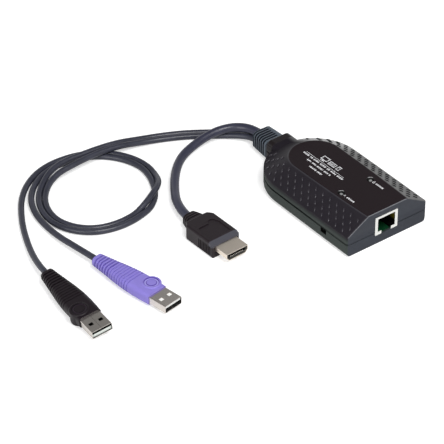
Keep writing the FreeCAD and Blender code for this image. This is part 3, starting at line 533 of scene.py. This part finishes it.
# %% Plug finishes
BLACK_PLUG = (11.7, -167.15, 4.95, -4.5)  # x, y, z and heading of its origin
PURPLE_PLUG = (15.8, -128.1, 3.95, 9.3)
BLACK_ROLL, PURPLE_ROLL = 8.0, 0.0  # degrees about the plug's own axis
SLEEVE_IN_Z, SLEEVE_IN_Y = 1.97, 5.72  # half height and width inside the sleeve
TONGUE_TOP = -0.16


def in_sleeve(where, roll):
    """A test for the inner faces of a data plug's sleeve."""
    def inside(made):
        place = made.beside_plug(where[:3], where[3], roll)
        flat = made.axis("Z", place).math("ABSOLUTE").math("LESS_THAN", SLEEVE_IN_Z * MM)
        return flat * made.axis("Y", place).math("ABSOLUTE").math("LESS_THAN", SLEEVE_IN_Y * MM)
    return inside


def tongue_finish(name, where, roll, colour):
    """Plastic that is dark on its top face, deep in the sleeve's shade."""
    made = Finish(name, Roughness=0.4, Specular_IOR_Level=0.2)
    height = made.axis("Z", made.beside_plug(where[:3], where[3], roll))
    shaded = height.above(TONGUE_TOP * MM, 0.02 * MM)
    return made.coat({"Base Color": made.mix(shaded, colour, rgb(0.01, 0.01, 0.01))}).material


STEEL = rgb(0.79, 0.74, 0.69)
NICKEL_A = metal("nickel_a", STEEL, 0.20, (1, 1, 5), in_sleeve(BLACK_PLUG, BLACK_ROLL))
NICKEL_B = metal("nickel_b", STEEL, 0.20, (1, 1, 5), in_sleeve(PURPLE_PLUG, PURPLE_ROLL))
PALE_TONGUE = tongue_finish("pale_tongue", BLACK_PLUG, BLACK_ROLL, rgb(0.66, 0.70, 0.66))
WHITE_TONGUE = Finish("white_tongue", Base_Color=rgb(0.9, 0.9, 0.88), Roughness=0.4).material
print("sleeves", NICKEL_A.name, NICKEL_B.name, "tongues", PALE_TONGUE.name, WHITE_TONGUE.name)


# %% Jack finishes
def behind_front(made):
    """1 inside the jack and the housing, 0 on the jack's front frame."""
    return 1.0 - made.axis("X").above(46.4 * MM, 0.1 * MM)


def jack_finish():
    """Black, with the board's green and the wires' gold painted on as reflections."""
    made = Finish("jack_plastic", Roughness=0.5, Specular_IOR_Level=0.1)
    y, z = made.axis("Y"), made.axis("Z")
    low = (1.0 - y.above(-0.5 * MM, 2 * MM)) * (1.0 - z.above(12 * MM, 2 * MM))
    high = y.above(2.0 * MM, 1.5 * MM) * z.above(11.5 * MM, 1.5 * MM)
    # Painted reflections: green low towards -Y, gold high towards +Y.
    colour = made.mix(low, rgb(0.001, 0.001, 0.001), rgb(0.003, 0.050, 0.018))
    made.coat({"Base Color": made.mix(high, colour, rgb(0.070, 0.060, 0.005))})
    return made.material


# Inside, the sheet is painted dark green and not metal: painted shade, with the board's green as
# a painted reflection.
JACK_SHEET = metal("jack_sheet", rgb(1.0, 1.0, 0.96), 0.30, (1, 1, 6), behind_front,
                   rgb(0.002, 0.036, 0.012))
JACK_PLASTIC = jack_finish()
print("jack", JACK_SHEET.name, JACK_PLASTIC.name)

# %% [markdown]
# ## The circuit board
#
# A board is glass and resin under a thin coat of green resist. The board is
# painted near black in a band along its sides and its front end, which is the
# part that shows beside the jack, so the green stops short of them.

# %% Board
BOARD_HALF, BOARD_FRONT = 22.5, 46.0


def board_finish():
    """Green resist, and a band painted near black along the sides and the front end."""
    made = Finish("board", Specular_IOR_Level=0.5)
    x, y = made.axis("X"), made.axis("Y")
    inland = 1.0 - y.math("ABSOLUTE").above(BOARD_HALF * MM, 0.2 * MM)
    inland = inland * (1.0 - x.above(BOARD_FRONT * MM, 0.1 * MM))
    patches = made.noise(3 * MM, 3.0)
    resist = made.mix(patches, rgb(0.009, 0.085, 0.034), rgb(0.014, 0.13, 0.052))
    made.coat({"Base Color": made.mix(inland, rgb(0.003, 0.010, 0.005), resist),
               "Roughness": patches * 0.1 + 0.3,
               "Normal": made.bump(made.noise(0.6 * MM, 1.0, (1, 6, 1)), 0.01 * MM)})
    return made.material


BOARD = board_finish()
print("board", BOARD.name)

# %% [markdown]
# ## Ribbed soft pieces
#
# The boot and the rear of each grip are ribbed. The grooves are painted darker,
# as dust and as painted shade that makes them look deeper than their half
# millimetre, and hands polish the ribs. The stripes are measured along each
# piece's own axis, so they fall into its grooves.


# %% Ribbed soft plastic
def ribbed(name, origin, heading, colour, groove, rows, roughness=0.42, ear=None, spine=None,
           bevel_reflection=None, rim_highlight=None):
    """Soft plastic with darker grooves, in millimetres along the piece's own axis.

    A row is start, pitch, count, half width and share. spine is how far to the
    left the grooves reach. ear is the middle of the thumb ring; the colour given
    for its rim is a painted highlight. The colour given for the slope at the
    top's front end is a painted reflection.
    """
    made = Finish(name, Specular_IOR_Level=0.34)
    where = made.beside_plug(origin, heading)
    along, across = made.axis("X", where), made.axis("Y", where)
    dust_and_shade = 0.0
    for start, pitch, count, half, share in rows:
        dust_and_shade = along.stripes(start * MM, pitch * MM, count, half * MM) * share + dust_and_shade
    if spine is not None:
        dust_and_shade = dust_and_shade * (1.0 - across.above(spine * MM, 0.2 * MM))
    if ear is not None:
        out = made.node("ShaderNodeVectorMath", {"operation": "DISTANCE"},
                        {0: made.node("ShaderNodeCombineXYZ", {}, {"X": along, "Y": across}),
                         1: Vector(ear) * MM}, "Value")
        # Two dark rings round the thumb ring's rim are painted shade; between them the rim is
        # painted paler as a highlight.
        dust_and_shade = dust_and_shade + out.stripes(2.7 * MM, 1.25 * MM, 2, 0.22 * MM) * 0.7
        colour = made.mix(out.stripes(3.35 * MM, 3 * MM, 1, 0.4 * MM), colour, rim_highlight)
    patches = made.noise(5 * MM, 3.0)
    body = made.mix(patches * 0.2, colour, groove)
    # The slope at the top's front end is painted paler as a reflection.
    if bevel_reflection is not None:
        top = made.axis("Z").above((origin[2] + 2.0) * MM, 0.4 * MM)
        body = made.mix(along.above(-2.9 * MM, 0.2 * MM) * top, body, bevel_reflection)
    made.coat({"Base Color": made.mix(dust_and_shade, body, groove),
               "Roughness": patches * 0.1 + (roughness - 0.05) + dust_and_shade * 0.2,
               "Normal": made.bump(made.noise(0.35 * MM), 0.012 * MM)})
    return made.material


# %% Grips and boot
DATA_ROWS = [(-41.4, 2.1, 6, 0.42, 1.0), (-28.9, 1.95, 8, 0.3, 0.14)]
# The boot's last row is one wide dark band by the neck: painted shade.
BOOT_ROWS = [(-60.275, 1.95, 6, 0.65, 1.0), (-47.8, 3.0, 1, 1.3, 0.85)]
VIDEO_PLUG = (4.2, -74.55, 4.8, 2.0)
BLACK_GRIP = ribbed("black_grip", VIDEO_PLUG[:3], VIDEO_PLUG[3], rgb(0.013, 0.008, 0.011),
                    rgb(0.005, 0.003, 0.004), [], bevel_reflection=rgb(0.052, 0.052, 0.066))
PURPLE_GRIP = ribbed("purple_grip", PURPLE_PLUG[:3], PURPLE_PLUG[3], rgb(0.255, 0.21, 0.62),
                     rgb(0.065, 0.024, 0.29), DATA_ROWS, ear=(-6.4, 2.5, 0),
                     rim_highlight=rgb(0.38, 0.34, 0.76))
DARK_GRIP = ribbed("dark_grip", BLACK_PLUG[:3], BLACK_PLUG[3], rgb(0.008, 0.004, 0.007),
                   rgb(0.002, 0.001, 0.002), DATA_ROWS, ear=(-6.4, -2.5, 0),
                   rim_highlight=rgb(0.022, 0.014, 0.022))
BOOT = ribbed("boot_rubber", (0, 0, 0), 0, rgb(0.085, 0.105, 0.130), rgb(0.006, 0.008, 0.014),
              BOOT_ROWS, 0.5, spine=3.2)
print("grips and boot", [made.name for made in (BLACK_GRIP, PURPLE_GRIP, DARK_GRIP, BOOT)])

# %% [markdown]
# ## Which solid has which finish
#
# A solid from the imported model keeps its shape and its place, and only its
# finish is set. One table says which, so a solid that was forgotten is easy to
# see: the cell prints those with no finish, and only the three cords are left.

# %% Which solid has which finish
WEARS = {
    HOUSING: ["upper_cover", "lower_cover"],
    BOOT: ["cord_boot"],
    BLACK_GRIP: ["video_plug_grip"],
    DARK_GRIP: ["black_plug_grip"],
    PURPLE_GRIP: ["purple_plug_grip"],
    JACK_SHEET: ["network_jack_cover"],
    NICKEL_A: ["black_plug_sleeve"],
    NICKEL_B: ["purple_plug_sleeve"],
    PALE_GOLD: ["video_plug_sleeve"],
    GOLD: ["network_jack_contacts"],
    PALE_CONTACT: ["video_plug_contacts"],
    DARK_CONTACT: ["black_plug_contacts", "purple_plug_contacts"],
    JACK_PLASTIC: ["network_jack_body"],
    ZINC: ["case_screws"],
    TIN: ["capacitors"],
    BLACK_PLASTIC: ["network_transformer", "controller_chip", "video_chip",
                    "memory_chip", "video_plug_insert"],
    SLOT_SHADE: ["switch_body", "switch_knob"],
    WHITE_PLASTIC: ["lamp_power", "lamp_link", "video_header", "data_header_a",
                    "data_header_b"],
    PALE_TONGUE: ["black_plug_tongue"],
    WHITE_TONGUE: ["purple_plug_tongue"],
    BOARD: ["circuit_board"],
    CORE: ["video_leads", "data_leads"],
    CLEAR: ["light_pipe_power", "light_pipe_link"],
}
for finish, names in WEARS.items():
    for name in names:
        nodes[name].data.materials.clear()
        nodes[name].data.materials.append(finish)
dressed = {name for names in WEARS.values() for name in names}
print("finishes", len(WEARS), "without one", sorted(set(nodes) - dressed))

# %% [markdown]
# ## Raised pips on the flanks
#
# Rows of low oval pips give the fingers a hold. Each is a sphere squashed to an
# oval, and half of it is sunk in the cover. Its place is found by dropping a
# line onto the real surface, and it is turned so that it stands upright there.

# %% New pieces
def finished(name, shape, finish):
    """A new piece from a bmesh, riding on the adapter."""
    mesh = bpy.data.meshes.new(name)
    shape.to_mesh(mesh)
    shape.free()
    mesh.materials.append(finish)
    made = bpy.data.objects.new(name, mesh)
    bpy.context.scene.collection.objects.link(made)
    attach(made, "adapter")
    print(name, "faces", len(mesh.polygons))
    return made


# %% Rows of pips, in millimetres
PIP_LONG, PIP_WIDE, PIP_HIGH = 2.9, 1.0, 0.5
PIP_STEP = 5.8  # along a row
PIP_ROWS = [17.2, 19.8, 22.4, 25.0]  # from the middle line
PIP_FRONT_X = 43.8
PIP_SHIFT = 0.5  # the whole pattern sits this far towards -Y
TAIL_X = -14.2  # behind it the rows turn round the tail
NECK_SIDE = 10.5  # and they end at the neck
PIP_TURN = math.radians(35.0)
DROP_FROM = 40.0


def pip_places():
    """Staggered rows along both flanks and round the tail, up to the neck."""
    for row, across in enumerate(PIP_ROWS):
        way = row % 2 * PIP_STEP / 2
        while True:
            x, y = PIP_FRONT_X - way, across
            if x < TAIL_X:
                turn = (TAIL_X - x) / across
                x, y = TAIL_X - across * math.sin(turn), across * math.cos(turn)
            if y < NECK_SIDE:
                break
            yield x, y - PIP_SHIFT
            yield x, -y - PIP_SHIFT
            way += PIP_STEP


print("pip places", len(list(pip_places())))


# %% Pips
def pip_finish():
    """Polished by hands on the near side, still matt on the far one. The near side is also
    painted paler as a highlight, and the far side near black as shade.
    """
    made = Finish("pip_plastic", Specular_IOR_Level=0.4)
    far = made.axis("Y").above(2 * MM, 6 * MM)
    made.coat({"Base Color": made.mix(far, rgb(0.028, 0.024, 0.032), rgb(0.002, 0.002, 0.003)),
               "Roughness": far * 0.2 + 0.26})
    return made.material


def surface_of(name):
    shape = bmesh.new()
    shape.from_mesh(nodes[name].data)
    tree = BVHTree.FromBMesh(shape)
    shape.free()
    return tree


def pips():
    cover = surface_of("upper_cover")
    shape = bmesh.new()
    size = Matrix.Diagonal((PIP_WIDE * MM / 2, PIP_LONG * MM / 2, PIP_HIGH * MM, 1.0))
    for x, y in pip_places():
        spot, normal, _, _ = cover.ray_cast(Vector((x, y, DROP_FROM)) * MM, Vector((0, 0, -1)))
        turn = normal.to_track_quat("Z", "Y").to_matrix().to_4x4()
        lean = Matrix.Rotation(-math.copysign(PIP_TURN, y), 4, "Z")
        bmesh.ops.create_uvsphere(shape, u_segments=12, v_segments=6, radius=1.0,
                                  matrix=Matrix.Translation(spot) @ turn @ lean @ size)
    for face in shape.faces:
        face.smooth = True
    return finished("flank_pips", shape, pip_finish())


pips()

# %% [markdown]
# ## Lamp windows
#
# Each lamp shows through a dark lens that covers its well. It is a flat dome
# with a pale crescent on one edge, a painted reflection, and opposite it a grey
# spot, a painted highlight.

# %% Lens finish
LENS_HALF, LENS_HIGH, LENS_LIFT = 2.15, 0.28, 0.12
# The side of the lens that gets the painted reflection; the painted highlight sits on the other.
REFLECTION_SIDE = Vector((-0.79, 0.61, 0.0))


def lens_finish(name, middle):
    """Black lens: a pale crescent on one side as a painted reflection, a grey spot on the other
    as a painted highlight.
    """
    made = Finish(name, Roughness=0.3, Specular_IOR_Level=0.15)

    def vectors(operation, a, b, output=0):
        return made.node("ShaderNodeVectorMath", {"operation": operation}, {0: a, 1: b}, output)

    flat = vectors("MULTIPLY", vectors("SUBTRACT", made.place(), middle), (1, 1, 0))

    def far_from(spot):
        return vectors("DISTANCE", flat, spot, "Value")

    # The crescent is a painted reflection and the spot a painted highlight.
    crescent_reflection = far_from(REFLECTION_SIDE * -0.9 * MM).above(2.2 * MM, 0.15 * MM)
    crescent_reflection = crescent_reflection * (1.0 - far_from(REFLECTION_SIDE * 2.0 * MM).above(1.5 * MM, 0.2 * MM))
    spot = 1.0 - far_from(REFLECTION_SIDE * -1.35 * MM).above(0.85 * MM, 0.2 * MM)
    colour = made.mix(crescent_reflection, rgb(0.001, 0.001, 0.001), rgb(0.36, 0.36, 0.37))
    made.coat({"Base Color": made.mix(spot, colour, rgb(0.22, 0.225, 0.225))})
    return made.material


# %% Windows
def window(pipe):
    """A lens over one light pipe, centred on the pipe's box."""
    low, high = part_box(pipe)
    middle = Vector(((low[0] + high[0]) / 2, (low[1] + high[1]) / 2, high[2] + LENS_LIFT * MM))
    size = Matrix.Diagonal((LENS_HALF * MM, LENS_HALF * MM, LENS_HIGH * MM, 1.0))
    dome = bmesh.new()
    bmesh.ops.create_uvsphere(dome, u_segments=24, v_segments=12, radius=1.0,
                              matrix=Matrix.Translation(middle) @ size)
    for face in dome.faces:
        face.smooth = True
    finished(pipe + "_lens", dome, lens_finish(pipe + "_lens", middle))


for pipe in ("light_pipe_power", "light_pipe_link"):
    window(pipe)

# %% [markdown]
# ## Print on the deck
#
# White ink lies a few hundredths of a millimetre proud of the plastic. Each
# mark is a thin plate: signs for a screen, a keyboard and a mouse, a rule,
# rows of short dashes, and a sign beside each lamp.

# %% Ink
INK = plastic("white_ink", rgb(0.74, 0.74, 0.76), 0.5, 0.2, 0.004)
INK_T = 0.03
DASH_GAP = 0.32


def plate(shape, x0, x1, y0, y1):
    """A thin bar of ink between two corners."""
    size = Matrix.Diagonal(((x1 - x0) * MM, (y1 - y0) * MM, INK_T * MM, 1.0))
    middle = Vector(((x0 + x1) / 2, (y0 + y1) / 2, INK_T / 2)) * MM
    bmesh.ops.create_cube(shape, size=1.0, matrix=Matrix.Translation(middle) @ size)


def open_box(shape, x0, x1, y0, y1, line):
    """The outline of a rectangle, drawn with four bars."""
    plate(shape, x0, x1, y0, y0 + line)
    plate(shape, x0, x1, y1 - line, y1)
    plate(shape, x0, x0 + line, y0 + line, y1 - line)
    plate(shape, x1 - line, x1, y0 + line, y1 - line)


def dashes(shape, x0, x1, y, high, widths):
    """A row of short dashes from x0 to x1. A negative width leaves a space."""
    x, i = x0, 0
    while x < x1:
        wide = widths[i % len(widths)]
        if wide > 0:
            plate(shape, x, min(x + wide, x1), y, y + high)
        x += abs(wide) + DASH_GAP
        i += 1


# %% Marks
LONG_ROW = [1.0, 0.5, 0.9, 1.3, -0.5, 0.6, 1.1, -0.4, 0.8, 0.5, 1.2, 0.7, -0.6]
MIDDLE_ROW = [0.8, 1.2, 0.5, -0.5, 1.0, 0.6, 0.9, -0.4, 1.3]
SHORT_ROW = [0.5, 1.1, 0.9, 0.6, 1.2, -0.3]
LAMP_ROW = [0.8, 1.0, 0.6, 0.9, 1.2]
PRINT_SHIFT = (0.43, -0.33)


def deck_print():
    shape = bmesh.new()
    # screen with its foot
    open_box(shape, -10.6, -5.6, 0.9, 4.3, 0.5)
    plate(shape, -8.6, -7.6, 0.4, 0.9)
    plate(shape, -9.6, -6.6, 0.0, 0.4)
    # keyboard with two rows of keys
    open_box(shape, -4.4, 1.0, 0.6, 3.6, 0.45)
    for row in range(2):
        for key in range(5):
            plate(shape, -3.6 + 0.8 * key, -3.1 + 0.8 * key, 1.35 + 0.8 * row, 1.85 + 0.8 * row)
    # mouse
    open_box(shape, 2.2, 4.6, 0.6, 4.0, 0.45)
    plate(shape, 3.25, 3.55, 2.7, 3.6)
    # rule and the rows of dashes
    plate(shape, -19.8, 11.8, -1.15, -0.9)
    dashes(shape, -20.6, 12.4, -3.1, 1.15, LONG_ROW)
    dashes(shape, -14.0, 5.4, -5.9, 1.1, MIDDLE_ROW)
    dashes(shape, -8.2, 2.2, -9.0, 1.1, SHORT_ROW)
    # a small sign and a row of dashes beside each lamp
    for y in (9.1, -10.9):
        dashes(shape, 26.4, 32.4, y - 0.55, 1.05, LAMP_ROW)
    plate(shape, 24.55, 24.85, 9.05, 10.2)
    open_box(shape, 24.0, 25.4, 8.3, 9.5, 0.3)
    open_box(shape, 24.0, 24.9, -11.3, -10.4, 0.25)
    plate(shape, 24.9, 25.2, -10.95, -10.75)
    bmesh.ops.recalc_face_normals(shape, faces=shape.faces)
    tilt = Matrix.Rotation(-DECK_RISE, 4, "Y")
    onto_deck = Matrix.Translation(Vector((*PRINT_SHIFT, DECK_Z)) * MM)
    bmesh.ops.transform(shape, verts=shape.verts, matrix=onto_deck @ tilt)
    return finished("deck_print", shape, INK)


deck_print()

# %% [markdown]
# ## Floor
#
# Paper under a small object carries its shadow. It glows a little, but only for
# rays straight from the camera, so it looks white without lighting the object.


# %% Floor
def floor():
    shape = bmesh.new()
    bmesh.ops.create_grid(shape, x_segments=1, y_segments=1, size=4.0)
    mesh = bpy.data.meshes.new("floor")
    shape.to_mesh(mesh)
    shape.free()
    made = Finish("floor_paper", Base_Color=rgb(0.82, 0.82, 0.82), Roughness=0.9)
    seen = made.node("ShaderNodeLightPath", {}, {}, "Is Camera Ray")
    glow = made.node("ShaderNodeEmission", {}, {"Color": rgb(1, 1, 1), "Strength": seen * 0.45})
    made.show(made.node("ShaderNodeAddShader", {}, {0: made.gloss(), 1: glow}))
    mesh.materials.append(made.material)
    plane = bpy.data.objects.new("floor", mesh)
    bpy.context.scene.collection.objects.link(plane)
    print("floor", [round(side, 1) for side in plane.dimensions])


floor()

# %% [markdown]
# ## Surroundings
#
# Dark plastic shows mostly what it reflects. The horizon is white and the sky
# above is dim, so the flanks and walls get soft, bright reflections while the
# deck stays black. The camera itself sees plain white.

# %% Sky
SKY = [(0.0, 1.0), (0.20, 0.92), (0.5, 0.38), (0.72, 0.20), (1.0, 0.16)]  # height, level


def surroundings():
    """White at the horizon, dim overhead, white where the camera looks."""
    world = bpy.data.worlds.new("studio")
    bpy.context.scene.world = world
    world.use_nodes = True
    tree = world.node_tree
    sky = tree.nodes["Background"]
    where = tree.nodes.new("ShaderNodeTexCoord")
    split = tree.nodes.new("ShaderNodeSeparateXYZ")
    ramp = tree.nodes.new("ShaderNodeValToRGB")
    path = tree.nodes.new("ShaderNodeLightPath")
    pick = tree.nodes.new("ShaderNodeMix")
    pick.data_type = "RGBA"
    ramp.color_ramp.elements.remove(ramp.color_ramp.elements[1])
    for i, (place, level) in enumerate(SKY):
        stop = ramp.color_ramp.elements[0] if i == 0 else ramp.color_ramp.elements.new(place)
        stop.position, stop.color = place, rgb(level, level, level)
    tree.links.new(where.outputs["Generated"], split.inputs[0])
    tree.links.new(split.outputs["Z"], ramp.inputs["Fac"])
    tree.links.new(path.outputs["Is Camera Ray"], pick.inputs[0])
    tree.links.new(ramp.outputs["Color"], pick.inputs[6])
    pick.inputs[7].default_value = rgb(1, 1, 1)
    tree.links.new(pick.outputs[2], sky.inputs["Color"])
    print("sky stops", len(ramp.color_ramp.elements))


surroundings()

# %% [markdown]
# ## Lamps
#
# Two soft boxes light the colours: a key high over the front end, and a weaker
# fill low over the near side. Both point at the camera's aim.


# %% Lamps
def softbox(name, place, size, power):
    lamp = bpy.data.lights.new(name, "AREA")
    lamp.size, lamp.energy = size, power
    made = bpy.data.objects.new(name, lamp)
    made.location = place
    made.rotation_euler = (Vector(place) - AIM).to_track_quat("Z", "Y").to_euler()
    bpy.context.scene.collection.objects.link(made)
    print(name, "size", size, "power", power)


softbox("key", (0.5, -0.1, 0.9), 0.5, 8.0)
softbox("fill", (0.3, -1.0, 0.5), 0.6, 4.5)

bpy.context.scene.view_settings.view_transform = "Standard"
